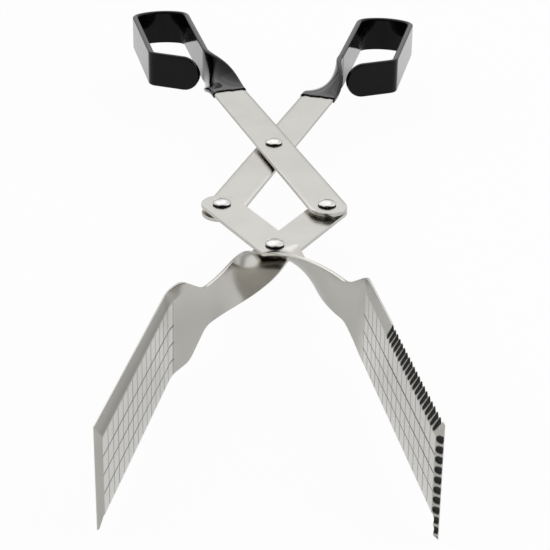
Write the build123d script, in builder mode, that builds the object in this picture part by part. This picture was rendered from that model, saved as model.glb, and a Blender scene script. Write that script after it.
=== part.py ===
from build123d import *
import os
from math import asin, atan, cos, degrees, radians, sin, tan

# Scissor-link serving tongs: two handle arms and two jaw arms of flat strip, riveted into a kite.
# Sizes are millimetres. The linkage lies in the XY plane, handles towards +Y, jaws towards -Y.

# strip and rivet stack
strip_width = 16.0
sheet = 1.5
spacer_thickness = 1.2
spacer_radius = 4.4
shank_radius = 2.0
head_radius = 3.8
head_rim = 1.0
head_height = 2.1
rear_washer_thickness = 0.6
rear_washer_radius = 4.0
tail_radius = 3.1
tail_height = 1.0
running_clearance = 0.05
open_pivot_clearance = 0.35

# linkage at rest: pivot distances, and half the distance between the two side pivots
upper_link = 71.0
lower_link = 44.7
half_spread = 21.6
end_margin = 1.0

# handle arm, measured along the arm from the top pivot, and its finger loop
handle_twist_start = 71.0
handle_twist_length = 39.0
wall_turn = 5.9
wall_bend_radius = 20.0
inner_wall_length = 54.0
loop_width = 27.0
far_corner_radius = 6.0
far_corner_turn = 62.0
outer_wall_length = 54.0
tongue_turn = 57.0
tongue_bend_radius = 4.0
tongue_length = 22.8

# dipped grip coating
coating = 0.6
coating_lead = 1.5
coating_edge_radius = 0.5

# jaw arm, measured along the strip from the bottom pivot, and its paddle
jaw_twist_start = 4.5
jaw_twist_length = 46.0
jaw_twist_haste = 1.8
jaw_reach = 176.6
left_bend_at = 78.5
left_bend_turn = 18.6
right_bend_at = 65.6
right_bend_turn = 19.3
paddle_bend_radius = 25.0
upper_shoulder_at = 70.0
upper_shoulder_run = 15.2
lower_shoulder_at = 65.0
lower_shoulder_run = 10.5
shoulder_radius = 10.0
upper_root = 17.3
upper_tip = 18.8
lower_root = 17.0
lower_tip = 15.8
tip_corner_radius = 1.0

# drop of the lower tip corner below the lower edge: a short point, and a square barb on the toothed paddle
plain_drop = 3.0
plain_drop_run = 4.0
plain_drop_flat = 0.8
toothed_drop = 7.3
toothed_drop_run = 3.6
toothed_drop_flat = 2.8
drop_radius = 0.5

# ground bevel along the upper edge and the tip edge of each paddle, on its gripping face
bevel_line = 12.3
tip_bevel = 5.0
bevel_depth = 1.0

# engraved grip lines
line_width = 0.5
line_depth = 0.2
grip_tilt = 1.6
grip_root = 4.0
cross_pitch = 6.3
row_pitch = 6.8
long_lines = 3

# scalloped teeth of the toothed paddle
tooth_pitch = 3.3
tooth_radius = 1.9
tooth_depth = 1.4
upper_teeth = 20
teeth_from_corner = 3.5
tip_tooth_pitch = 3.7
tip_teeth = 11
tip_teeth_from_corner = 4.7

twist_stations = 8
overrun = 1.0

# angles of the arms from the Y axis, and heights of the two layers of strip
upper_angle = asin(half_spread / upper_link)
lower_angle = asin(half_spread / lower_link)
layer = (sheet + spacer_thickness) / 2
front_face = layer + sheet / 2
side_y = -upper_link * cos(upper_angle)
bottom_y = side_y - lower_link * cos(lower_angle)

# one plane for each arm: origin at its crossing pivot, X along the arm, Y across the strip
up, down = (0, 0, 1), (0, 0, -1)
left_handle_plane = Plane((0, 0, layer), x_dir=(-sin(upper_angle), cos(upper_angle), 0), z_dir=up)
right_handle_plane = Plane((0, 0, -layer), x_dir=(sin(upper_angle), cos(upper_angle), 0), z_dir=down)
left_jaw_plane = Plane((0, bottom_y, -layer), x_dir=(-sin(lower_angle), -cos(lower_angle), 0), z_dir=up)
right_jaw_plane = Plane((0, bottom_y, layer), x_dir=(sin(lower_angle), -cos(lower_angle), 0), z_dir=down)


def within(base, origin, x_dir, z_dir):
    """A plane given in the coordinates of another plane."""
    return Plane(base.location * Plane(origin, x_dir=x_dir, z_dir=z_dir).location)


def flat_strip(base, start, end):
    """The flat length of an arm, rounded past its end pivot."""
    with BuildSketch(base.offset(-sheet / 2)) as blank:
        with Locations(((start + end) / 2, 0)):
            Rectangle(end - start, strip_width)
        with Locations((start, 0)):
            Circle(strip_width / 2)
    extrude(blank.sketch, amount=sheet)


def slow_ends(share):
    """Share of a turn that starts and stops gently."""
    return share * share * (3 - 2 * share)


def quick_start(share):
    """Share of a turn that is quickest where it leaves the flat strip."""
    return 1 - (1 - share) ** jaw_twist_haste


def twist(base, start, length, pace, wide, thick, edge_radius=0.0):
    """A quarter turn of the strip about its own axis, at a given pace."""
    sections = []
    for station in range(twist_stations + 1):
        share = station / twist_stations
        turn = radians(90) * pace(share)
        centre = (start + length * share, 0, 0)
        with BuildSketch(within(base, centre, (0, cos(turn), -sin(turn)), (1, 0, 0))) as section:
            if edge_radius:
                RectangleRounded(wide, thick, edge_radius)
            else:
                Rectangle(wide, thick)
        sections.append(section.sketch)
    loft(sections)


def pivot_holes(base, places):
    """Round holes through an arm, given as (distance along the arm, radius)."""
    for distance, radius in places:
        with BuildSketch(base.offset(-sheet / 2 - overrun)) as hole:
            with Locations((distance, 0)):
                Circle(radius)
        extrude(hole.sketch, amount=sheet + 2 * overrun, mode=Mode.SUBTRACT)


def loop_path(base, beyond):
    """Centre line of a finger loop: inner wall, arched far end, outer wall and free tongue."""
    corner = radians(far_corner_turn)
    arch_radius = (loop_width - 2 * far_corner_radius * (1 - cos(corner))) / (2 * cos(corner))
    with BuildLine(base) as path:
        start = (handle_twist_start + handle_twist_length, 0)
        first = JernArc(start, base.x_dir, wall_bend_radius, -wall_turn)
        inner = Line(first @ 1, first @ 1 + inner_wall_length * (first % 1))
        near = JernArc(inner @ 1, inner % 1, far_corner_radius, far_corner_turn)
        arch = JernArc(near @ 1, near % 1, arch_radius, 180 - 2 * far_corner_turn)
        far = JernArc(arch @ 1, arch % 1, far_corner_radius, far_corner_turn)
        outer = Line(far @ 1, far @ 1 + outer_wall_length * (far % 1))
        bend = JernArc(outer @ 1, outer % 1, tongue_bend_radius, tongue_turn)
        Line(bend @ 1, bend @ 1 + (tongue_length + beyond) * (bend % 1))
    return path.wires()[0]


def loop_wall(base, wide, thick, beyond, edge_radius=0.0):
    """Strip carried on edge round the loop path, with a full round end on the tongue."""
    path = loop_path(base, beyond)
    start = within(base, (handle_twist_start + handle_twist_length, 0, 0), (0, 0, -1), (1, 0, 0))
    with BuildSketch(start) as section:
        if edge_radius:
            RectangleRounded(wide, thick, edge_radius)
        else:
            Rectangle(wide, thick)
    sweep(section.sketch, path)
    along = path % 1
    end = Plane(path @ 1, x_dir=along, z_dir=along.cross(base.z_dir))
    with BuildSketch(end) as corners:
        with Locations((-wide / 4 + overrun / 2, 0)):
            Rectangle(wide / 2 + overrun, wide + 2 * overrun)
        with Locations((-wide / 2, 0)):
            Circle(wide / 2, mode=Mode.SUBTRACT)
    extrude(corners.sketch, amount=thick, both=True, mode=Mode.SUBTRACT)


def handle_arm(base):
    """Handle arm: flat strip, quarter twist and finger loop."""
    with BuildPart() as arm:
        loop_wall(base, strip_width, sheet, 0)
        twist(base, handle_twist_start, handle_twist_length, slow_ends, strip_width, sheet)
        flat_strip(base, -upper_link - end_margin, handle_twist_start)
        hole = shank_radius + running_clearance
        pivot_holes(base, [(0, hole), (-upper_link, hole)])
    return arm.part


def grip_coating(base, arm):
    """Dipped skin over the loop and the twist of a handle arm."""
    wide = strip_width + 2 * coating
    thick = sheet + 2 * coating
    with BuildPart() as skin:
        loop_wall(base, wide, thick, coating, coating_edge_radius)
        twist(base, handle_twist_start, handle_twist_length, slow_ends, wide, thick, coating_edge_radius)
        lead = within(base, (handle_twist_start - coating_lead, 0, 0), (0, 1, 0), (1, 0, 0))
        with BuildSketch(lead):
            RectangleRounded(wide, thick, coating_edge_radius)
        extrude(amount=coating_lead)
        add(arm, mode=Mode.SUBTRACT)
    return skin.part


def paddle_plane(base, bend_at, bend_turn):
    """Plane of a paddle: origin at its bend, X towards the tip, Z out of its back."""
    turn = radians(bend_turn)
    return within(base, (bend_at, 0, 0), (cos(turn), sin(turn), 0), (sin(turn), -cos(turn), 0))


def paddle_outline(face, edge_side, bend_at, drop, drop_run, drop_flat):
    """Neck, rounded shoulders and paddle with a dropped lower tip corner, cut out of the bent sheet."""
    tip = jaw_reach - bend_at
    neck = edge_side * strip_width / 2
    upper_shoulder = upper_shoulder_at - bend_at
    lower_shoulder = lower_shoulder_at - bend_at
    top = edge_side * upper_tip
    low = -edge_side * (lower_tip + drop)
    with BuildSketch(face) as outline:
        with BuildLine():
            upper = FilletPolyline(
                (-bend_at, neck),
                (upper_shoulder - upper_shoulder_run, neck),
                (upper_shoulder, edge_side * upper_root),
                (tip, top),
                (tip, top / 2),
                radius=(shoulder_radius, shoulder_radius, tip_corner_radius),
            )
            lower = FilletPolyline(
                (-bend_at, -neck),
                (lower_shoulder - lower_shoulder_run, -neck),
                (lower_shoulder, -edge_side * lower_root),
                (tip - drop_run, -edge_side * lower_tip),
                (tip - drop_flat, low),
                (tip, low),
                radius=(shoulder_radius, shoulder_radius, drop_radius, drop_radius),
            )
            Line(upper @ 0, lower @ 0)
            Line(upper @ 1, lower @ 1)
        make_face()
    extrude(outline.sketch, amount=bend_at, both=True, mode=Mode.INTERSECT)


def ground_bevels(face, edge_side, tip):
    """Shallow bevels on the gripping face along the upper edge and the tip edge."""
    height = upper_tip + lower_tip + toothed_drop + 2 * overrun
    upper_start = (tip + overrun, edge_side * bevel_line, -sheet / 2)
    tip_start = (tip - tip_bevel, edge_side * (upper_tip + overrun), -sheet / 2)
    edges = (
        (upper_start, (0, edge_side, 0), (1, 0, 0), upper_tip - bevel_line, tip + overrun),
        (tip_start, (1, 0, 0), (0, edge_side, 0), tip_bevel, height),
    )
    for origin, outward, forward, band, length in edges:
        reach = band + overrun
        deeper = 1 if Vector(*forward).cross(Vector(*outward)).Z > 0 else -1
        with BuildSketch(within(face, origin, outward, forward)) as wedge:
            with BuildLine():
                Polyline(
                    (0, 0),
                    (reach, deeper * bevel_depth * reach / band),
                    (reach, -deeper * overrun),
                    (0, -deeper * overrun),
                    close=True,
                )
            make_face()
        extrude(wedge.sketch, amount=-length, mode=Mode.SUBTRACT)


def grip_lines(face, edge_side, tip):
    """Thin engraved lines along and across the gripping face, below its bevel."""
    end = tip - tip_bevel
    cross_lines = int((end - grip_root) / cross_pitch)
    run = cross_lines * cross_pitch
    drop = (long_lines + 1) * row_pitch
    tilted = within(face, (end, edge_side * bevel_line, line_depth - sheet / 2), (1, 0, 0), (0, 0, 1))
    tilted = tilted.rotated((0, 0, edge_side * grip_tilt))
    with BuildSketch(tilted) as lines:
        for count in range(1, cross_lines + 1):
            with Locations((-count * cross_pitch, -edge_side * drop / 2)):
                Rectangle(line_width, drop)
        for count in range(1, long_lines + 1):
            with Locations((-run / 2, -edge_side * count * row_pitch)):
                Rectangle(run + line_width, line_width)
    extrude(lines.sketch, amount=-line_depth - overrun, mode=Mode.SUBTRACT)


def tooth_grooves(face, edge_side, tip):
    """Scallops ground square across the bevels, leaving teeth on the upper and tip edges."""
    upper_reach = upper_tip - bevel_line
    climb = (upper_tip - upper_root) / (jaw_reach - upper_shoulder_at)
    centre_depth = tooth_depth - sheet / 2 - tooth_radius
    grooves = []
    for count in range(upper_teeth):
        along = teeth_from_corner + count * tooth_pitch
        place = (tip - along, edge_side * (upper_tip - along * climb), centre_depth)
        grooves.append((place, (0, -edge_side * upper_reach, -tooth_depth)))
    for count in range(tip_teeth):
        below = upper_tip - tip_teeth_from_corner - count * tip_tooth_pitch
        grooves.append(((tip, edge_side * below, centre_depth), (-tip_bevel, 0, -tooth_depth)))
    for place, lean in grooves:
        axis = within(face, place, (lean[1], -lean[0], 0), lean)
        with BuildSketch(axis.offset(-tooth_radius - overrun)) as scallop:
            Circle(tooth_radius)
        extrude(scallop.sketch, amount=tooth_radius + 3 * upper_reach, mode=Mode.SUBTRACT)


def jaw_arm(base, edge_side, bend_at, bend_turn, corner, toothed, crossing_clearance):
    """Jaw arm: flat strip, quarter twist, and a paddle bent towards the other one."""
    face = paddle_plane(base, bend_at, bend_turn)
    tip = jaw_reach - bend_at
    twist_end = jaw_twist_start + jaw_twist_length
    tangent = paddle_bend_radius * tan(radians(bend_turn) / 2)
    with BuildPart() as arm:
        with BuildLine(base) as path:
            neck = Line((twist_end, 0), (bend_at - tangent, 0))
            bend = JernArc(neck @ 1, neck % 1, paddle_bend_radius, bend_turn)
            Line(bend @ 1, bend @ 1 + (tip - tangent) * (bend % 1))
        with BuildSketch(within(base, (twist_end, 0, 0), (0, 0, -1), (1, 0, 0))) as section:
            Rectangle(2 * (upper_tip + lower_tip + toothed_drop), sheet)
        sweep(section.sketch, path.wires()[0])
        paddle_outline(face, edge_side, bend_at, *corner)
        ground_bevels(face, edge_side, tip)
        if toothed:
            tooth_grooves(face, edge_side, tip)
        grip_lines(face, edge_side, tip)
        twist(base, jaw_twist_start, jaw_twist_length, quick_start, strip_width, sheet)
        flat_strip(base, -lower_link - end_margin, jaw_twist_start)
        side_hole = shank_radius + running_clearance
        pivot_holes(base, [(0, shank_radius + crossing_clearance), (-lower_link, side_hole)])
    return arm.part


def pivot_rivet(pivot):
    """Domed head on the front, plain shank through the stack, and a formed tail behind."""
    rear = -front_face - rear_washer_thickness
    dome = head_height - head_rim
    dome_radius = (head_radius**2 + dome**2) / (2 * dome)
    half_way = front_face + head_height - dome_radius + (dome_radius**2 - head_radius**2 / 4) ** 0.5
    with BuildPart() as rivet:
        with BuildSketch(Plane(pivot, x_dir=(1, 0, 0), z_dir=(0, -1, 0))):
            with BuildLine():
                crown = ThreePointArc(
                    (0, front_face + head_height),
                    (head_radius / 2, half_way),
                    (head_radius, front_face + head_rim),
                )
                Polyline(
                    crown @ 1,
                    (head_radius, front_face),
                    (shank_radius, front_face),
                    (shank_radius, rear),
                    (tail_radius, rear),
                    (tail_radius, rear - tail_height / 2),
                    (tail_radius / 2, rear - tail_height),
                    (0, rear - tail_height),
                    crown @ 0,
                )
            make_face()
        revolve(axis=Axis(pivot, (0, 0, 1)))
    return rivet.part


def pivot_washer(pivot, low, thickness, radius):
    """Flat washer round a rivet shank."""
    with BuildPart() as washer:
        with BuildSketch(Plane(pivot).offset(low)):
            Circle(radius)
            Circle(shank_radius + running_clearance, mode=Mode.SUBTRACT)
        extrude(amount=thickness)
    return washer.part


plain_corner = (plain_drop, plain_drop_run, plain_drop_flat)
barbed_corner = (toothed_drop, toothed_drop_run, toothed_drop_flat)
pieces = {
    "left_handle_arm": handle_arm(left_handle_plane),
    "right_handle_arm": handle_arm(right_handle_plane),
    "left_jaw_arm": jaw_arm(
        left_jaw_plane, 1, left_bend_at, left_bend_turn, plain_corner, False, open_pivot_clearance
    ),
    "right_jaw_arm": jaw_arm(
        right_jaw_plane, -1, right_bend_at, right_bend_turn, barbed_corner, True, running_clearance
    ),
}
pieces["left_grip_coating"] = grip_coating(left_handle_plane, pieces["left_handle_arm"])
pieces["right_grip_coating"] = grip_coating(right_handle_plane, pieces["right_handle_arm"])

pivots = {
    "top": (0, 0, 0),
    "left": (-half_spread, side_y, 0),
    "right": (half_spread, side_y, 0),
    "bottom": (0, bottom_y, 0),
}
for place, pivot in pivots.items():
    rear = -front_face - rear_washer_thickness
    pieces[f"{place}_rivet"] = pivot_rivet(pivot)
    pieces[f"{place}_spacer"] = pivot_washer(pivot, -spacer_thickness / 2, spacer_thickness, spacer_radius)
    pieces[f"{place}_rear_washer"] = pivot_washer(pivot, rear, rear_washer_thickness, rear_washer_radius)

# the tongs lie on the XY plane, centred on the origin
boxes = [piece.bounding_box() for piece in pieces.values()]
centre_x = (min(box.min.X for box in boxes) + max(box.max.X for box in boxes)) / 2
centre_y = (min(box.min.Y for box in boxes) + max(box.max.Y for box in boxes)) / 2
seat = Location((-centre_x, -centre_y, -min(box.min.Z for box in boxes)))

os.makedirs("parts", exist_ok=True)
for name, piece in pieces.items():
    placed = piece.moved(seat)
    placed.label = name
    export_step(placed, f"parts/{name}.step")
print("top pivot at", [round(value, 3) for value in seat.position])
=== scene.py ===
import bpy
import numpy as np
from mathutils import Matrix, Vector


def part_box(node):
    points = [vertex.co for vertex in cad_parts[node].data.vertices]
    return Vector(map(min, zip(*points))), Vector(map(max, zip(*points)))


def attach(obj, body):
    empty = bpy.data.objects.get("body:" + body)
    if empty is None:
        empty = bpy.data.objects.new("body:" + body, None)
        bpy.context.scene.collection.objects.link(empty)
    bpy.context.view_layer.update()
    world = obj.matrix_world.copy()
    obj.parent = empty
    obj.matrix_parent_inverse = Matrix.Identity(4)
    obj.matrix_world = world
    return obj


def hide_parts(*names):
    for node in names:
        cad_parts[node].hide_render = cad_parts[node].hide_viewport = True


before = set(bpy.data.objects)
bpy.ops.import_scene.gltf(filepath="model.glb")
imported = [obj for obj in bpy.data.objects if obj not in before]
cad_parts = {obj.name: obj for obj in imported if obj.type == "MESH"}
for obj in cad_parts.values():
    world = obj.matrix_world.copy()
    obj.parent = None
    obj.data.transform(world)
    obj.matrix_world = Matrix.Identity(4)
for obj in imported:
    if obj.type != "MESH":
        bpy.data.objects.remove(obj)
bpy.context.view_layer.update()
print("frame loaded:", len(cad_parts), "nodes")

mm = 0.001
strip = {"wide": 16.0, "sheet": 1.5, "edgeRound": 0.22, "endMargin": 1.0, "endStations": 14}


# pivots and arms, read from the frame, in millimetres

def boxCentre(node):
    low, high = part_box(node)
    return (np.array(low) + np.array(high)) / 2 / mm


pivots = {place: boxCentre(place + "_spacer") for place in ("top", "left", "right", "bottom")}


def layerHeights():
    # height of the middle plane, and how far each layer of strip lies from it; the spacer is between the layers
    low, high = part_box("top_spacer")
    return (low.z + high.z) / 2 / mm, ((high.z - low.z) / mm + strip["sheet"]) / 2


deck, layer = layerHeights()


def armFrame(crossing, away, turnedOver, side):
    # axes of one arm: X from the far pivot through the crossing pivot, Z out of its upper face; side picks the layer
    origin = pivots[crossing].copy()
    along = origin - pivots[away]
    along[2] = 0
    origin[2] = deck + side * layer
    ex = along / np.linalg.norm(along)
    ez = np.array([0, 0, -1.0 if turnedOver else 1.0])
    return {"origin": origin, "ex": ex, "ey": np.cross(ez, ex), "ez": ez, "link": np.linalg.norm(along)}


leftHandle = armFrame("top", "right", False, 1)
rightHandle = armFrame("top", "left", True, -1)
leftJaw = armFrame("bottom", "right", False, -1)
rightJaw = armFrame("bottom", "left", True, 1)


# surfaces carried along a bent strip

def smooth(x, low, high):
    # zero at low, one at high, three t squared less two t cubed between
    t = np.clip((x - low) / (high - low), 0, 1)
    return t * t * (3 - 2 * t)


def arc(radius, turn):
    return (radius * np.radians(abs(turn)), turn)


def bentPath(start, runs, steps=12000):
    # heading turns evenly over each (length, turn) run, and the place is the running sum of its cosine and sine
    lengths = np.array([run[0] for run in runs])
    turns = np.radians([run[1] for run in runs])
    knots = start + np.concatenate([[0], np.cumsum(lengths)])
    headings = np.concatenate([[0], np.cumsum(turns)])
    fine = np.linspace(knots[0], knots[-1], steps)
    angle = np.interp(fine, knots, headings)

    def runningSum(values):
        middle = (values[1:] + values[:-1]) / 2
        return np.concatenate([[0], np.cumsum(middle * np.diff(fine))])

    x = start + runningSum(np.cos(angle))
    y = runningSum(np.sin(angle))

    def at(s):
        return np.interp(s, fine, x), np.interp(s, fine, y), np.interp(s, fine, angle)

    return {"start": start, "end": knots[-1], "at": at}


def carry(arm, path, s, across, out, twist):
    # place = path + across * strip's width direction + out * strip's face direction, both turned by the twist
    x, y, heading = path["at"](s)
    zero = np.zeros_like(x)
    normal = np.stack([-np.sin(heading), np.cos(heading), zero], -1)
    up = np.stack([zero, zero, zero + 1], -1)
    c, d = np.cos(twist)[..., None], np.sin(twist)[..., None]
    width = c * normal - d * up
    face = c * up + d * normal
    local = np.stack([x, y, zero], -1) + width * across[..., None] + face * out[..., None]
    turned = np.stack([arm["ex"], arm["ey"], arm["ez"]])
    return arm["origin"] + local @ turned


def roundEnd(s, end, radius):
    # half width near a full round end: root of radius squared minus distance squared
    inside = np.clip(radius - np.abs(end - s), 0, radius)
    return np.sqrt(np.maximum(radius**2 - inside**2, 0))


def endStations(end, radius, count, side):
    # places that crowd toward a round end, by the cosine of an even turn
    return end + side * radius * (1 - np.cos(np.linspace(0, np.pi / 2, count)))


edgeTurns = np.radians([70, 45, 20])  # steps from a face to the middle of a rounded edge
edgeSteps = len(edgeTurns)


def ringRows(across, top, back, rounding):
    # closed ring: rounded edge, upper face, rounded edge, lower face; each edge is half an ellipse
    middle, half = (top + back) / 2, (top - back) / 2

    def edge(column, side):
        y = across[:, column, None] + side * rounding[:, None] * np.cos(edgeTurns)
        z = half[:, column, None] * np.sin(edgeTurns)
        tip = across[:, column, None] + side * rounding[:, None]
        return y, z, middle[:, column, None], tip

    lowY, lowZ, lowM, lowTip = edge(0, -1)
    highY, highZ, highM, highTip = edge(-1, 1)
    flip = slice(None, None, -1)
    y = np.hstack([lowY[:, flip], across, highY, highTip, highY[:, flip], across[:, flip], lowY, lowTip])
    z = np.hstack([
        lowM + lowZ[:, flip], top, highM + highZ, highM,
        highM - highZ[:, flip], back[:, flip], lowM - lowZ, lowM,
    ])
    return y, z


def onRing(upper, lower):
    # values of the two faces laid round the ring in the order of ringRows
    return np.hstack(
        [upper[:, :1]] * edgeSteps + [upper] + [upper[:, -1:]] * (edgeSteps + 1)
        + [lower[:, -1:]] * edgeSteps + [lower[:, ::-1]] + [lower[:, :1]] * (edgeSteps + 1)
    )


def ringFaces(rows, ring):
    # quads between neighbouring rings, closed round the ring
    i = np.arange(rows - 1)[:, None] * ring
    j = np.arange(ring)[None, :]
    k = (j + 1) % ring
    return np.stack([i + j, i + ring + j, i + ring + k, i + k], -1).reshape(-1, 4)


def startFace(ring):
    # one face over the first ring
    return np.arange(ring)[None, :]


def thinBack(front, some):
    # ring columns to keep: edges and upper face whole, and some of the plain lower face
    behind = front + 3 * edgeSteps + 1  # where the lower face starts
    lastEdge = behind + front + np.arange(edgeSteps + 1)
    return np.concatenate([np.arange(behind), behind + some, lastEdge])


def endFaces(rows, front, some):
    # triangles from the upper row of the last ring to its lower row, and one face round each edge
    behind = front + 3 * edgeSteps + 1
    ring = behind + len(some) + edgeSteps + 1
    column = np.arange(front)
    upper = edgeSteps + column
    lower = behind - 1 + np.searchsorted(some, front - 1 - column, side="right")
    fromUpper = np.stack([upper[:-1], upper[1:], lower[:-1]], -1)
    fromLower = np.stack([upper[1:], lower[1:], lower[:-1]], -1)[lower[1:] != lower[:-1]]
    highEdge = np.arange(upper[-1], behind + 1)[None, :]
    lowEdge = (np.arange(ring - edgeSteps - 2, ring + edgeSteps + 1) % ring)[None, :]
    return [(rows - 1) * ring + part[:, ::-1] for part in (fromUpper, fromLower, highEdge, lowEdge)]


def makeMesh(name, points, faces, values, sharpAngle=32):
    # mesh from arrays in millimetres, with its doubles merged and its named values kept per point
    mesh = bpy.data.meshes.new(name)
    corners = [corner for part in faces for corner in part.tolist()]
    mesh.from_pydata((points.reshape(-1, 3) * mm).tolist(), [], corners)
    for label, data in values.items():
        data = np.asarray(data, float)
        kind = "FLOAT_VECTOR" if data.shape[-1:] == (3,) and data.ndim == 3 else "FLOAT"
        store = mesh.attributes.new(label, kind, "POINT")
        store.data.foreach_set("vector" if kind == "FLOAT_VECTOR" else "value", data.reshape(-1))
    piece = bpy.data.objects.new(name, mesh)
    bpy.context.scene.collection.objects.link(piece)
    weld = piece.modifiers.new("weld", "WELD")
    weld.merge_threshold = 0.002 * mm
    baked = bpy.data.meshes.new_from_object(piece.evaluated_get(bpy.context.evaluated_depsgraph_get()))
    piece.modifiers.remove(weld)
    piece.data = baked
    baked.name = name
    baked.shade_smooth()
    baked.set_sharp_from_angle(angle=np.radians(sharpAngle))
    return piece


def settle(piece, body, slot, material, *nodes):
    piece.data.materials.clear()
    piece.data.materials.append(material)
    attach(piece, body)
    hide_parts(*nodes)
    print("piece", piece.name, len(piece.data.polygons), "faces")
    return piece


# shader expressions

class Value:
    # one socket in a material; arithmetic on it adds nodes
    def __init__(self, tree, socket):
        self.tree, self.socket = tree, socket

    def node(self, kind, settings=None, inputs=None, output=0):
        made = self.tree.nodes.new(kind)
        for key, value in (settings or {}).items():
            setattr(made, key, value)
        for key, value in (inputs or {}).items():
            if isinstance(value, Value):
                self.tree.links.new(value.socket, made.inputs[key])
            else:
                made.inputs[key].default_value = value
        return Value(self.tree, made.outputs[output])

    def sibling(self, output):
        # another output of the same node
        return Value(self.tree, self.socket.node.outputs[output])

    def maths(self, operation, first, second):
        return self.node("ShaderNodeMath", {"operation": operation}, {0: first, 1: second})

    def __add__(self, other):
        return self.maths("ADD", self, other)

    def __radd__(self, other):
        return self.maths("ADD", other, self)

    def __sub__(self, other):
        return self.maths("SUBTRACT", self, other)

    def __rsub__(self, other):
        return self.maths("SUBTRACT", other, self)

    def __mul__(self, other):
        return self.maths("MULTIPLY", self, other)

    def __rmul__(self, other):
        return self.maths("MULTIPLY", other, self)

    def __abs__(self):
        return self.maths("ABSOLUTE", self, 0.0)

    def least(self, other):
        return self.maths("MINIMUM", self, other)

    def most(self, other):
        return self.maths("MAXIMUM", self, other)

    def held(self):
        # kept between nothing and one
        return self.most(0.0).least(1.0)

    def mix(self, first, second):
        # self chooses between two colours
        both = {"data_type": "RGBA"}
        return self.node("ShaderNodeMix", both, {0: self, 6: first, 7: second}, 2)


def newMaterial(name):
    material = bpy.data.materials.new(name)
    material.use_nodes = True
    tree = material.node_tree
    shader = tree.nodes["Principled BSDF"]
    return material, tree, shader, Value(tree, shader.outputs[0])


def feed(tree, shader, links):
    for socket, value in links.items():
        if isinstance(value, Value):
            tree.links.new(value.socket, shader.inputs[socket])
        else:
            shader.inputs[socket].default_value = value


def attribute(start, name, output=2):
    return start.node("ShaderNodeAttribute", {"attribute_name": name}, {}, output)


def objectPlace(start):
    return start.node("ShaderNodeTexCoord", {}, {}, 3)


def noise(start, place, scale, detail):
    return start.node("ShaderNodeTexNoise", {}, {"Vector": place, "Scale": scale, "Detail": detail})


def bumped(start, height, strength, distance):
    return start.node("ShaderNodeBump", {}, {"Height": height, "Strength": strength, "Distance": distance})


# the dark bevel colour mixes a ground finish with painted shade
steelLook = {
    "plain": (0.60, 0.585, 0.545, 1), "cloudy": (0.54, 0.525, 0.49, 1), "ground": (0.2, 0.195, 0.17, 1),
    # the near-black groove colour is painted shade in the tooth grooves
    "gulletShade": (0.02, 0.02, 0.02, 1), "scribed": (0.03, 0.029, 0.027, 1), "fresh": (0.76, 0.75, 0.72, 1),
    "rough": 0.2, "gulletRough": 0.4, "grain": (60, 5200, 400), "clouds": 46.0, "specks": 900.0,
    "bump": (0.03, 0.0002),
}


def satinSteel():
    # rolled stainless: grain drawn out along the strip, soft clouds, ground bevels darkened with painted shade, and
    # scribed lines
    look = steelLook
    material, tree, shader, start = newMaterial("satin_steel")
    drawn = start.node("ShaderNodeMapping", {}, {"Vector": attribute(start, "lie", 1), "Scale": look["grain"]})
    place = objectPlace(start)
    grain = noise(start, drawn, 1.0, 3.0)
    clouds = noise(start, place, look["clouds"], 2.0)
    specks = noise(start, place, look["specks"], 2.0)
    marks = ("bevel", "gulletShade", "line", "fresh", "rim")
    bevel, gulletShade, line, fresh, worn = (attribute(start, name) for name in marks)
    colour = ((clouds - 0.42) * 2.2).held().mix(look["plain"], look["cloudy"])
    colour = fresh.mix(colour, look["fresh"])
    # ground bevels: a darker ground finish with painted shade
    colour = (bevel * (0.75 + grain * 0.3)).least(1.0).mix(colour, look["ground"])
    colour = line.mix(colour, look["scribed"])
    # painted shade in the tooth grooves
    colour = gulletShade.mix(colour, look["gulletShade"])
    rough = look["rough"] + (grain - 0.5) * 0.12 + (specks - 0.5) * 0.04 - worn * 0.04 + gulletShade * look["gulletRough"]
    bump = bumped(start, grain * 0.6 + specks * 0.4, *look["bump"])
    feed(tree, shader, {"Base Color": colour, "Roughness": rough, "Metallic": 1.0, "Normal": bump})
    return material


# the dark colour under the head is painted shade
rivetLook = {
    "bright": (0.70, 0.69, 0.67, 1), "dull": (0.46, 0.45, 0.43, 1), "seat": (0.05, 0.048, 0.045, 1), "rough": 0.13,
    "smear": 700.0, "fine": 4200.0, "bump": (0.04, 0.0001),
}


def polishedRivet():
    # polished rivet steel with faint smears, and painted shade under the head
    look = rivetLook
    material, tree, shader, start = newMaterial("polished_rivet")
    place = objectPlace(start)
    smear = noise(start, place, look["smear"], 3.0)
    fine = noise(start, place, look["fine"], 1.0)
    colour = ((smear - 0.45) * 2.0).held().mix(look["bright"], look["dull"])
    # painted shade under the head
    colour = attribute(start, "seat").mix(colour, look["seat"])
    rough = look["rough"] + smear * 0.12 + fine * 0.05
    bump = bumped(start, fine, *look["bump"])
    feed(tree, shader, {"Base Color": colour, "Roughness": rough, "Metallic": 1.0, "Normal": bump})
    return material


gripLook = {
    "deep": (0.0025, 0.0025, 0.003, 1), "scuffed": (0.008, 0.008, 0.0085, 1), "bend": 1.19, "rough": 0.1,
    "coatRough": 0.07, "sag": 85.0, "peel": 620.0, "scuff": 150.0, "bump": (0.12, 0.0006),
}


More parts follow.
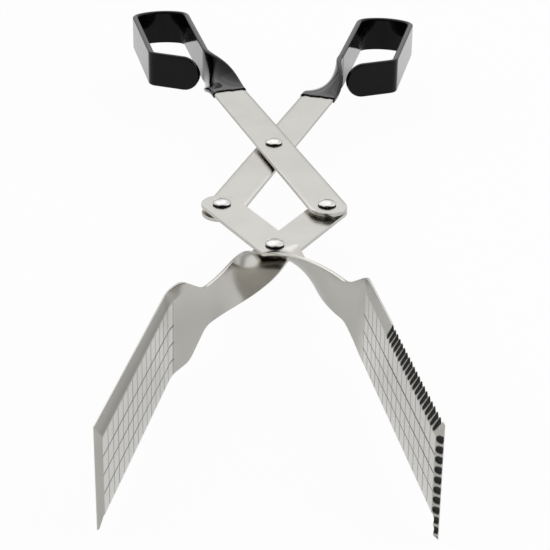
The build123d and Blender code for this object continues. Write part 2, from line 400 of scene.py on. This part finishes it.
def blackGrip():
    # dipped gloss coating: slow sags in the film, fine orange peel and a few dull scuffs
    look = gripLook
    material, tree, shader, start = newMaterial("black_grip")
    place = objectPlace(start)
    sag = noise(start, place, look["sag"], 1.0)
    peel = noise(start, place, look["peel"], 2.0)
    scuff = noise(start, place, look["scuff"], 4.0)
    dull = ((scuff - 0.58) * 5.0).held()
    colour = dull.mix(look["deep"], look["scuffed"])
    rough = look["rough"] + peel * 0.06 + dull * 0.1
    bump = bumped(start, sag * 0.8 + peel * 0.2, *look["bump"])
    feed(tree, shader, {"Base Color": colour, "Roughness": rough, "Coat Weight": 1.0, "Normal": bump})
    feed(tree, shader, {"Coat Roughness": look["coatRough"], "Coat IOR": look["bend"], "IOR": look["bend"]})
    return material


steel = satinSteel()
rivetSteel = polishedRivet()
grip = blackGrip()
print("materials made")


# handle arms: flat strip, quarter twist, finger loop

loop = {
    "twistStart": 71.0, "twistLength": 39.0, "wallTurn": 5.9, "wallBend": 20.0, "innerWall": 54.0, "width": 27.0,
    "cornerRadius": 6.0, "cornerTurn": 62.0, "outerWall": 54.0, "tongueTurn": 57.0, "tongueBend": 4.0, "tongue": 22.8,
    "flatStations": 24, "step": 0.9, "columns": 9,
}


def handlePath(beyond):
    # straight strip, inner wall, corner, arch, corner, outer wall and tongue, which runs beyond by the film
    corner = np.radians(loop["cornerTurn"])
    arch = (loop["width"] - 2 * loop["cornerRadius"] * (1 - np.cos(corner))) / (2 * np.cos(corner))
    start = -leftHandle["link"] - strip["endMargin"] - strip["wide"] / 2
    straight = loop["twistStart"] + loop["twistLength"] - start
    cornerArc = arc(loop["cornerRadius"], loop["cornerTurn"])
    return bentPath(start, [
        (straight, 0), arc(loop["wallBend"], -loop["wallTurn"]), (loop["innerWall"], 0), cornerArc,
        arc(arch, 180 - 2 * loop["cornerTurn"]), cornerArc, (loop["outerWall"], 0),
        arc(loop["tongueBend"], loop["tongueTurn"]), (loop["tongue"] + beyond, 0),
    ])


def handleTwist(s):
    return np.radians(90) * smooth(s, loop["twistStart"], loop["twistStart"] + loop["twistLength"])


def handleStrip(name, arm):
    # a ring of the strip's section carried from one round end to the other
    path = handlePath(0)
    start, end = path["start"], path["end"]
    radius = strip["wide"] / 2
    s = np.unique(np.concatenate([
        endStations(start, radius, strip["endStations"], 1),
        np.linspace(start + radius, loop["twistStart"], loop["flatStations"]),
        np.arange(loop["twistStart"], end - radius, loop["step"]),
        endStations(end, radius, strip["endStations"], -1),
    ]))
    half = np.minimum(roundEnd(s, start, radius), roundEnd(s, end, radius))
    rounding = np.minimum(strip["edgeRound"], half)
    across = (half - rounding)[:, None] * np.linspace(-1, 1, loop["columns"])
    top = np.full_like(across, strip["sheet"] / 2)
    y, z = ringRows(across, top, -top, rounding)
    along = np.repeat(s[:, None], y.shape[1], 1)
    points = carry(arm, path, along, y, z, handleTwist(along))
    none = np.zeros_like(y)
    values = {label: none for label in ("bevel", "gulletShade", "line", "fresh")}
    values["lie"] = np.stack([along, y, z], -1) * mm
    values["rim"] = smooth(np.abs(y), radius - 0.5, radius)
    return makeMesh(name, points, [ringFaces(*y.shape)], values)


dip = {
    "film": 0.6, "start": 69.6, "lip": 0.35, "edgeRound": 0.75, "wave": 0.22, "waveRun": 3.5, "runWidth": 1.3,
    "beadAt": (75.2, 7.0), "beadRadius": 0.75, "beadStretch": 0.8, "bead": 0.55,
    "lipStations": 8, "fineTo": 80.0, "fineStep": 0.3, "step": 0.8, "endStations": 20, "columns": 41,
}
gripRuns = {"left": {"run": 2.6, "bead": 1.0}, "right": {"run": 0.5, "bead": 0.0}}  # drip past the end, caught bubble


def gripSkin(name, arm, runs):
    # the strip's ring pushed out by the film, which swells from nothing over the lip and has a wavy start
    path = handlePath(dip["film"])
    radius = strip["wide"] / 2 + dip["film"]
    end = path["end"]
    s = np.unique(np.concatenate([
        endStations(dip["start"], dip["lip"], dip["lipStations"], 1),
        np.arange(dip["start"] + dip["lip"], dip["fineTo"], dip["fineStep"]),
        np.arange(dip["fineTo"], end - radius, dip["step"]),
        endStations(end, radius, dip["endStations"], -1),
    ]))
    swell = np.clip((s - dip["start"]) / dip["lip"], 0, 1)
    film = dip["film"] * np.sqrt(1 - (1 - swell) ** 2)
    half = np.minimum(strip["wide"] / 2 + film, roundEnd(s, end, radius))
    rounding = np.minimum(dip["edgeRound"], half)
    across = (half - rounding)[:, None] * np.linspace(-1, 1, dip["columns"])
    top = np.repeat((strip["sheet"] / 2 + film)[:, None], across.shape[1], 1)
    beadS, beadY = dip["beadAt"]
    away = np.hypot(s[:, None] - beadS, (across - beadY) * dip["beadStretch"]) / dip["beadRadius"]
    bead = runs["bead"] * dip["bead"] * np.exp(-(away**2))
    y, z = ringRows(across, top + bead, -top, rounding)
    along = np.repeat(s[:, None], y.shape[1], 1)
    wave = np.sin(y * 0.9 + 0.6) + 0.6 * np.sin(y * 1.7 + z)
    drip = runs["run"] * np.exp(-(((y - strip["wide"] / 2) / dip["runWidth"]) ** 2))
    along = along + (dip["wave"] * wave - drip) * (1 - smooth(along, dip["start"], dip["start"] + dip["waveRun"]))
    points = carry(arm, path, along, y, z, handleTwist(along))
    return makeMesh(name, points, [ringFaces(*y.shape), startFace(y.shape[1])], {}, 60)


for side, arm in (("left", leftHandle), ("right", rightHandle)):
    body = side + "_handle"
    settle(handleStrip(side + "_handle_strip", arm), body, "satin_steel", steel, side + "_handle_arm")
    settle(gripSkin(side + "_grip_skin", arm, gripRuns[side]), body, "black_grip", grip, side + "_grip_coating")


# jaw arms: flat strip, quarter twist, bent paddle with bevels, scribed grid and teeth

# the tip bevel tone and the inward fade set painted shade on the bevels
jaw = {
    "twistStart": 4.5, "twistLength": 46.0, "twistHaste": 1.8, "twistBlend": 1.0, "reach": 176.6, "bendRadius": 25.0,
    "shoulderSoft": 2.8, "upperTip": 18.8, "bevelLine": 12.3, "tipBevel": 5.0, "bevelDepth": 1.0, "rowPitch": 6.8,
    "crossPitch": 6.3, "tilt": 0.028, "leanFade": 12.0, "lineWidth": 0.85, "lineDepth": 0.2, "tipGroundAndShade": 0.25,
    "fieldEdge": 0.2, "fieldGap": 0.1, "groundFade": 0.6, "groundDepth": (0.004, 0.05), "leastSheet": 0.18,
    "paddleFrom": 60.0, "twistLead": 2.0, "rowShares": (0.22, 0.42, 0.62, 0.82), "backColumns": 31,
    "flatStations": 12, "twistStations": 90, "bevelStations": 14, "dropStations": 6, "leastStep": 0.04,
}
fadeIn = {"rows": (56.0, 68.0), "grid": (56.0, 62.0), "bevel": (66.0, 74.0), "ground": (70.0, 84.0)}  # along the arm
upperShoulder = {"at": 70.0, "run": 15.2, "root": 17.3, "tip": 18.8}
lowerShoulder = {"at": 65.0, "run": 10.5, "root": 17.0, "tip": 15.8}
# darkDepth, dark and tipDark set where painted shade darkens the grooves
teeth = {
    "pitch": 3.3, "radius": 2.8, "depth": 0.44, "fromCorner": 3.5, "count": 20, "runOut": 6.9, "sweep": 4.0,
    "slant": 0.75, "notch": 1.7, "tipSlant": 0.42, "tipPitch": 3.7, "tipFrom": 5.4, "tipCount": 11, "tipRunOut": 4.8,
    "darkDepth": 0.12, "dark": (0.46, 0.38), "tipDark": (0.44, 0.37), "tipRows": (44, 18, 18, 18),
    "stationsFrom": 7.0, "stationsPerPitch": 12,
}
# each jaw's bevel tone is a ground finish with painted shade
plainJaw = {
    "bendAt": 78.5, "turn": 18.6, "drop": 3.0, "dropRun": 4.0, "dropFlat": 0.8, "gridRoot": 72.0, "ground": 1.0,
    "toothed": False, "upperFirst": True, "paddleStations": 130, "bevelColumns": 8,
}
toothedJaw = {
    "bendAt": 65.6, "turn": 19.3, "drop": 7.3, "dropRun": 3.6, "dropFlat": 2.8, "gridRoot": 66.0, "ground": 0.3,
    "toothed": True, "upperFirst": False, "paddleStations": 50, "bevelColumns": 17,
}


def softened(curve, s, reach):
    # mean of a curve over a short span to each side, which rounds its corners
    return np.mean([curve(s + shift) for shift in np.linspace(-reach, reach, 9)], 0)


def shoulderLine(s, shoulder, past=10):
    # half height: level strip, rising shoulder, then a straight taper that runs past the tip
    neck = strip["wide"] / 2
    taper = (shoulder["tip"] - shoulder["root"]) / (jaw["reach"] - shoulder["at"])
    places = [shoulder["at"] - shoulder["run"], shoulder["at"], jaw["reach"] + past]
    heights = [neck, shoulder["root"], shoulder["tip"] + past * taper]
    return softened(lambda at: np.interp(at, places, heights), s, jaw["shoulderSoft"])


def jawTwist(s):
    # a quarter turn, quickest where it leaves the flat strip: one less the power of what is left
    def share(at):
        left = 1 - np.clip((at - jaw["twistStart"]) / jaw["twistLength"], 0, 1)
        return 1 - left ** jaw["twistHaste"]
    return np.radians(90) * softened(share, s, jaw["twistBlend"])


def crossPlaces(kind):
    last = jaw["reach"] - jaw["tipBevel"]
    return np.arange(last - jaw["crossPitch"], kind["gridRoot"], -jaw["crossPitch"])


def longPlaces(along):
    # three lines a row apart below the bevel line, tilted away from it toward the root
    fromBevel = jaw["reach"] - jaw["tipBevel"] - along
    return [jaw["bevelLine"] - jaw["rowPitch"] * k - jaw["tilt"] * fromBevel for k in (3, 2, 1)]


def toothPlaces():
    upper = jaw["reach"] - teeth["fromCorner"] - teeth["pitch"] * np.arange(teeth["count"])
    tip = jaw["upperTip"] - teeth["tipFrom"] - teeth["tipPitch"] * np.arange(teeth["tipCount"])
    return upper, tip


def nearest(x, places):
    return np.min(np.abs(x[..., None] - places), -1)


def jawStations(kind, start):
    # places along the arm, crowded at the round end, the cross lines, the teeth and the tip
    tip = jaw["reach"]
    bevelAt = tip - jaw["tipBevel"]
    lineSides = np.array([-1.6, -1, 0, 1, 1.6]) * (jaw["lineWidth"] / 2)
    sets = [
        endStations(start, strip["wide"] / 2, strip["endStations"], 1),
        np.linspace(start + strip["wide"] / 2, jaw["twistStart"], jaw["flatStations"]),
        np.linspace(jaw["twistStart"] - jaw["twistLead"], jaw["paddleFrom"], jaw["twistStations"]),
        np.linspace(jaw["paddleFrom"], bevelAt, kind["paddleStations"]),
        np.linspace(bevelAt, tip, jaw["bevelStations"]),
        np.linspace(tip - kind["dropRun"], tip - kind["dropFlat"], jaw["dropStations"]),
        (crossPlaces(kind)[:, None] + lineSides).ravel(),
    ]
    if kind["toothed"]:
        firstTooth = toothPlaces()[0].min() - teeth["stationsFrom"]
        sets.append(np.arange(firstTooth, tip, teeth["pitch"] / teeth["stationsPerPitch"]))
    s = np.unique(np.round(np.concatenate(sets), 3))
    s = s[np.concatenate([[True], np.diff(s) > jaw["leastStep"]])]
    s[0], s[-1] = start, tip
    return s


def jawRows(kind, s):
    # rows run from the lower edge through the three long lines and the bevel line to the upper edge
    dropped = np.clip((s - (jaw["reach"] - kind["dropRun"])) / (kind["dropRun"] - kind["dropFlat"]), 0, 1)
    lower = -shoulderLine(s, lowerShoulder) - kind["drop"] * dropped
    upper = shoulderLine(s, upperShoulder)
    if kind["toothed"]:
        beside = np.clip(nearest(s, toothPlaces()[0]) / (teeth["pitch"] / 2), 0, 1)
        upper = upper - teeth["notch"] * (1 - beside**2)
    inPaddle = smooth(s, *fadeIn["rows"])
    knots = [lower]
    for share, line in zip(jaw["rowShares"], longPlaces(s) + [jaw["bevelLine"]]):
        plain = lower + (upper - lower) * share
        knots.append(plain + (line - plain) * inPaddle)
    return np.stack(knots + [upper], 1)


def fillRows(kind, knots):
    # rows between neighbouring knots, crowded where a line or an edge lies
    side = jaw["lineWidth"] / 2 / jaw["rowPitch"]
    toLine = [1 - 1.6 * side, 1 - side]
    first = np.array([0, 0.04, 0.12, 0.3, 0.5, 0.7, *toLine])
    body = np.array([0, side, 1.6 * side, 0.25, 0.5, 0.75, *toLine])
    shares = [first, body, body, body]
    if kind["toothed"]:
        more = [np.linspace(0, 1, count, endpoint=False) for count in teeth["tipRows"]]
        shares = [np.unique(np.concatenate(pair)) for pair in zip(shares, more)]
    shares.append(np.linspace(0, 1, kind["bevelColumns"]))
    rows = [knots[:, k, None] + (knots[:, k + 1] - knots[:, k])[:, None] * share for k, share in enumerate(shares)]
    return np.hstack(rows)


def jawBevels(kind, along, rows):
    # depth ground off toward the upper edge and toward the tip, each growing evenly from its line, and how dark its
    # ground finish and painted shade make it
    full, width = jaw["bevelDepth"], jaw["tipBevel"]
    top = full * np.clip((rows - jaw["bevelLine"]) / (jaw["upperTip"] - jaw["bevelLine"]), 0, 1)
    top = top * smooth(along, *fadeIn["bevel"])
    end = full * np.clip((along - (jaw["reach"] - width)) / width, 0, 1)
    mask = smooth(np.maximum(top, end), *jaw["groundDepth"])
    # painted shade: the bevel tone is darkest beside the bevel line, and the tip bevel is lighter than the upper one
    inward = (1 - jaw["groundFade"] * top / full) * smooth(along, *fadeIn["ground"])  # darkest beside the bevel line
    ground = np.where(end > top, jaw["tipGroundAndShade"], kind["ground"] * inward) * mask
    return top, end, mask, ground


def groove(bevel, fromEdge, runOut, beside):
    # round groove: a floor below the bevel that sweeps up to its run-out, less the rise of a circle to the side
    floor = bevel + teeth["depth"] * (1 - np.clip(fromEdge / runOut, 0, 2) ** teeth["sweep"])
    side = np.clip(beside, 0, teeth["radius"])
    return floor - (teeth["radius"] - np.sqrt(teeth["radius"] ** 2 - side**2))


def toothGrooves(along, rows, fromTop, topBevel, tipBevel):
    # depth of the grooves in both edges, which lean toward the tip, and where painted shade darkens them
    fromTip = jaw["reach"] - along
    bevel = np.maximum(topBevel, tipBevel)
    upperTeeth, tipTeeth = toothPlaces()
    besideTop = nearest(along + teeth["slant"] * fromTop, upperTeeth)
    besideTip = nearest(rows + teeth["tipSlant"] * fromTip, tipTeeth)
    top = groove(topBevel, fromTop, teeth["runOut"], besideTop)
    end = groove(tipBevel, fromTip, teeth["tipRunOut"], besideTip)
    # painted shade where a groove is deep enough and near its middle
    topDark = smooth(top - bevel, 0.0, teeth["darkDepth"]) * smooth(besideTop / teeth["pitch"], *teeth["dark"])
    tipDark = smooth(end - bevel, 0.0, teeth["darkDepth"]) * smooth(besideTip / teeth["tipPitch"], *teeth["tipDark"])
    # the end face gets no painted shade
    dark = np.maximum(topDark, tipDark) * (along < jaw["reach"])  # the end face stays bright
    return np.maximum(top, end), dark


def gridLines(kind, along, rows, bevelMask):
    # scribed lines, one along each line and nothing at its sides, and the fresh field that they are cut in
    width = jaw["lineWidth"]
    cross = crossPlaces(kind)
    root = cross.min() - width / 2
    field = (1 - bevelMask) * smooth(along, root - jaw["fieldEdge"], root)
    field = field * (rows < jaw["bevelLine"] - jaw["fieldGap"])
    crossLine = 1 - smooth(nearest(along, cross), width / 4, width / 2)
    besideLong = np.min([np.abs(rows - place) for place in longPlaces(along)], 0)
    longLine = 1 - smooth(besideLong, width / 5, width / 2.4)
    return np.maximum(crossLine, longLine) * field * smooth(along, *fadeIn["grid"]), field


def jawArm(name, arm, kind):
    # the strip's ring with a taller paddle, its upper face let in by the bevels, grooves and lines
    tip = jaw["reach"]
    start = -leftJaw["link"] - strip["endMargin"] - strip["wide"] / 2
    tangent = jaw["bendRadius"] * np.tan(np.radians(kind["turn"]) / 2)
    toBend, beyond = kind["bendAt"] - tangent - start, tip - kind["bendAt"] - tangent
    path = bentPath(start, [(toBend, 0), arc(jaw["bendRadius"], kind["turn"]), (beyond, 0)])
    s = jawStations(kind, start)
    rows = fillRows(kind, jawRows(kind, s))
    half = roundEnd(s, start, strip["wide"] / 2) / (strip["wide"] / 2)
    rounding = np.minimum(strip["edgeRound"], half * strip["wide"] / 2)
    tallest = np.maximum(np.abs(rows).max(1, keepdims=True), 0.001)
    across = rows * (half[:, None] * (1 - rounding[:, None] / tallest))
    along = np.repeat(s[:, None], rows.shape[1], 1)

    topBevel, tipBevel, bevelMask, ground = jawBevels(kind, along, rows)
    depth = np.maximum(topBevel, tipBevel)
    gulletShade = np.zeros_like(depth)
    if kind["toothed"]:
        fromTop = shoulderLine(s, upperShoulder)[:, None] - rows
        grooves, gulletShade = toothGrooves(along, rows, fromTop, topBevel, tipBevel)
        depth = np.maximum(depth, grooves)
    line, field = gridLines(kind, along, rows, bevelMask)
    depth = depth + jaw["lineDepth"] * line
    face = strip["sheet"] / 2 - np.minimum(depth, strip["sheet"] - jaw["leastSheet"])
    leaning = smooth(along, tip, tip - jaw["leanFade"]) * smooth(along, *fadeIn["grid"])
    lean = jaw["tilt"] * (jaw["bevelLine"] - rows) * leaning  # cross lines stay square to the long ones

    columns = (across, face, ground, gulletShade, line, field, lean)
    if kind["upperFirst"]:
        columns = (-across[:, ::-1], *(column[:, ::-1] for column in columns[1:]))
    across, face, ground, gulletShade, line, field, lean = columns
    y, z = ringRows(across, face, np.full_like(face, -strip["sheet"] / 2), rounding)
    ringAlong = s[:, None] + onRing(lean, lean)
    points = carry(arm, path, ringAlong, y, z, jawTwist(ringAlong))
    plain = np.zeros_like(face)
    # the bevel mark carries the ground finish and its painted shade
    marks = {"bevel": ground, "gulletShade": gulletShade, "line": line, "fresh": field}
    values = {label: onRing(mark, plain) for label, mark in marks.items()}
    values["lie"] = np.stack([ringAlong, y, z], -1) * mm
    values["rim"] = smooth(np.abs(y) / np.maximum(np.abs(y).max(1, keepdims=True), 0.01), 0.97, 1.0)

    front = face.shape[1]
    some = np.unique(np.linspace(0, front - 1, jaw["backColumns"]).astype(int))
    keep = thinBack(front, some)
    points, values = points[:, keep], {label: data[:, keep] for label, data in values.items()}
    faces = [ringFaces(len(s), len(keep)), *endFaces(len(s), front, some)]
    return makeMesh(name, points, faces, values, 28)


settle(jawArm("plain_jaw", leftJaw, plainJaw), "left_jaw", "satin_steel", steel, "left_jaw_arm")
settle(jawArm("toothed_jaw", rightJaw, toothedJaw), "right_jaw", "satin_steel", steel, "right_jaw_arm")


# rivets: a turned profile about the pivot axis

rivetShape = {
    "head": 3.8, "height": 1.85, "domeEdge": 0.25, "rim": 0.75, "rimSink": 0.1, "roll": 0.45, "rollTurn": (50, -75),
    "foot": 3.2, "shank": 2.0, "tail": 3.1, "tailHeight": 1.0, "tailRound": 0.9, "washer": 0.6, "columns": 48,
}
rivetBodies = {"top": "left_handle", "right": "left_handle", "left": "right_handle", "bottom": "right_jaw"}


def rivetProfile():
    # part of a sphere, a rolled rim, the foot, the shank through both layers and a rounded tail
    shape = rivetShape
    front = layer + strip["sheet"] / 2
    rear = -front - shape["washer"]
    dome = shape["height"] - shape["rim"]
    sphere = (shape["head"] ** 2 + dome**2) / (2 * dome)
    r = np.linspace(0, shape["head"] - shape["domeEdge"], 18)
    z = front + shape["height"] - sphere + np.sqrt(sphere**2 - r**2)
    bend = np.radians(np.linspace(*shape["rollTurn"], 12))
    rimR = shape["head"] - shape["roll"] + shape["roll"] * np.cos(bend)
    rimZ = front + shape["rim"] - shape["rimSink"] + shape["roll"] * np.sin(bend)
    tailBend = np.linspace(0, np.pi / 2, 7)
    tailR = shape["tail"] - shape["tailRound"] + shape["tailRound"] * np.cos(tailBend)
    tailZ = rear - shape["tailHeight"] + shape["tailRound"] - shape["tailRound"] * np.sin(tailBend)
    radius = np.concatenate([r, rimR, [shape["foot"], shape["shank"], shape["shank"], shape["tail"]], tailR, [0]])
    height = np.concatenate([z, rimZ, [front, front, rear, rear], tailZ, [rear - shape["tailHeight"]]])
    # painted shade under the head, on the lower half of the rolled rim and at the foot
    seat = np.zeros_like(radius)
    seat[len(r):len(r) + len(bend)] = smooth(bend, 0.25, -0.25)
    seat[len(r) + len(bend)] = 1
    return radius, height, seat


def rivet(name, pivot):
    # radius and height of the profile turned through a full circle
    radius, height, seat = rivetProfile()
    turn = np.linspace(0, 2 * np.pi, rivetShape["columns"] + 1)[:-1]
    x = pivot[0] + radius[:, None] * np.cos(turn)
    y = pivot[1] + radius[:, None] * np.sin(turn)
    z = deck + height[:, None] + 0 * turn
    faces = [ringFaces(len(radius), len(turn))]
    return makeMesh(name, np.stack([x, y, z], -1), faces, {"seat": seat[:, None] + 0 * turn}, 34)


for place, body in rivetBodies.items():
    settle(rivet(place + "_domed_rivet", pivots[place]), body, "polished_rivet", rivetSteel, place + "_rivet")
    for washer in ("_spacer", "_rear_washer"):
        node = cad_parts[place + washer]
        node.data.materials.clear()
        node.data.materials.append(rivetSteel)


# camera at the photograph's angle

view = {
    "place": (-5.9, -744.8, 300.1), "yaw": 0.55, "pitch": 26.0, "roll": 0.73, "focal": 1800.0, "image": 550.0,
    "sensor": 36.0, "clip": (0.01, 20.0),
}


def addCamera():
    yaw, pitch, roll = np.radians([view["yaw"], view["pitch"], view["roll"]])
    ahead = np.array([np.sin(yaw) * np.cos(pitch), np.cos(yaw) * np.cos(pitch), -np.sin(pitch)])
    level = np.array([np.cos(yaw), -np.sin(yaw), 0])
    upright = np.cross(level, ahead)
    right = np.cos(roll) * level + np.sin(roll) * upright
    up = np.cos(roll) * upright - np.sin(roll) * level
    place = (np.array(view["place"]) + [0, pivots["top"][1], deck]) * mm
    data = bpy.data.cameras.new("camera")
    data.sensor_width = view["sensor"]
    data.lens = view["focal"] / view["image"] * view["sensor"]
    data.clip_start, data.clip_end = view["clip"]
    camera = bpy.data.objects.new("camera", data)
    bpy.context.scene.collection.objects.link(camera)
    rows = [[*axis, p] for axis, p in zip(np.stack([right, up, -ahead], 1), place)]
    camera.matrix_world = Matrix(rows + [[0, 0, 0, 1]])
    bpy.context.scene.camera = camera


# floor, room and lamps

studio = {
    "floor": (0.88, 0.88, 0.88, 1), "floorHalf": 3.0, "floorDrop": 0.0003, "whiten": 0.95, "mirrored": 0.3,
    "dark": 0.05, "darkFrom": 0.05, "darkRise": -2.6, "dim": 0.2, "dimAt": 0.13,
}
lamps = {
    "overhead": {"place": (-0.1, 0.75, 1.0), "aim": (0, -0.05, 0), "size": 1.0, "power": 1.5},
    "front_left": {"place": (-0.9, -0.9, 0.8), "aim": (0, -0.1, 0), "size": 1.2, "power": 3.0},
    "right_side": {"place": (1.1, -0.2, 0.7), "aim": (0, 0, 0), "size": 1.4, "power": 5.0},
}


def whiteShare(start):
    # how much of the floor is plain white: most to the camera, some in gloss and through glass, so that shade shows
    camera = start.node("ShaderNodeLightPath", {}, {}, "Is Camera Ray")
    bounced = camera.sibling("Is Glossy Ray").most(camera.sibling("Is Transmission Ray"))
    return (camera * studio["whiten"]).most(bounced * studio["mirrored"])


def addFloor():
    half, z = studio["floorHalf"], -studio["floorDrop"]
    mesh = bpy.data.meshes.new("floor")
    mesh.from_pydata([(-half, -half, z), (half, -half, z), (half, half, z), (-half, half, z)], [], [(0, 1, 2, 3)])
    floor = bpy.data.objects.new("floor", mesh)
    bpy.context.scene.collection.objects.link(floor)
    material, tree, shader, start = newMaterial("studio_floor")
    feed(tree, shader, {"Base Color": studio["floor"], "Roughness": 0.9})
    glow = start.node("ShaderNodeEmission", {}, {"Color": (1, 1, 1, 1), "Strength": 1.0})
    mixed = start.node("ShaderNodeMixShader", {}, {0: whiteShare(start), 1: start, 2: glow})
    tree.links.new(mixed.socket, tree.nodes["Material Output"].inputs[0])
    mesh.materials.append(material)


def addRoom():
    # white to the camera; to the part, a lit ceiling, a dim wall above the floor and a dark side behind the camera
    world = bpy.data.worlds.new("studio")
    world.use_nodes = True
    bpy.context.scene.world = world
    tree = world.node_tree
    back = tree.nodes["Background"]
    back.inputs["Color"].default_value = (1, 1, 1, 1)
    start = Value(tree, back.outputs[0])
    toward = start.node("ShaderNodeTexCoord", {}, {}, 0)
    northward = start.node("ShaderNodeSeparateXYZ", {}, {"Vector": toward}, "Y")
    unlit = ((northward - studio["darkFrom"]) * studio["darkRise"]).held()
    wall = 1.0 - abs(northward.sibling("Z") - studio["dimAt"]) * (1 / studio["dimAt"])
    dim = wall.most(0.0) * (1 - studio["dim"])
    room = (1.0 - unlit * (1 - studio["dark"])) * (1.0 - dim)
    camera = start.node("ShaderNodeLightPath", {}, {}, "Is Camera Ray")
    tree.links.new(room.most(camera).socket, back.inputs["Strength"])


def addLamps():
    for name, lamp in lamps.items():
        data = bpy.data.lights.new(name, "AREA")
        data.size, data.energy = lamp["size"], lamp["power"]
        light = bpy.data.objects.new(name, data)
        bpy.context.scene.collection.objects.link(light)
        away = Vector(lamp["place"]) - Vector(lamp["aim"])
        light.matrix_world = Matrix.Translation(lamp["place"]) @ away.to_track_quat("Z", "Y").to_matrix().to_4x4()


addCamera()
addFloor()
addRoom()
addLamps()
bpy.context.scene.view_settings.view_transform = "Standard"
print("studio ready")
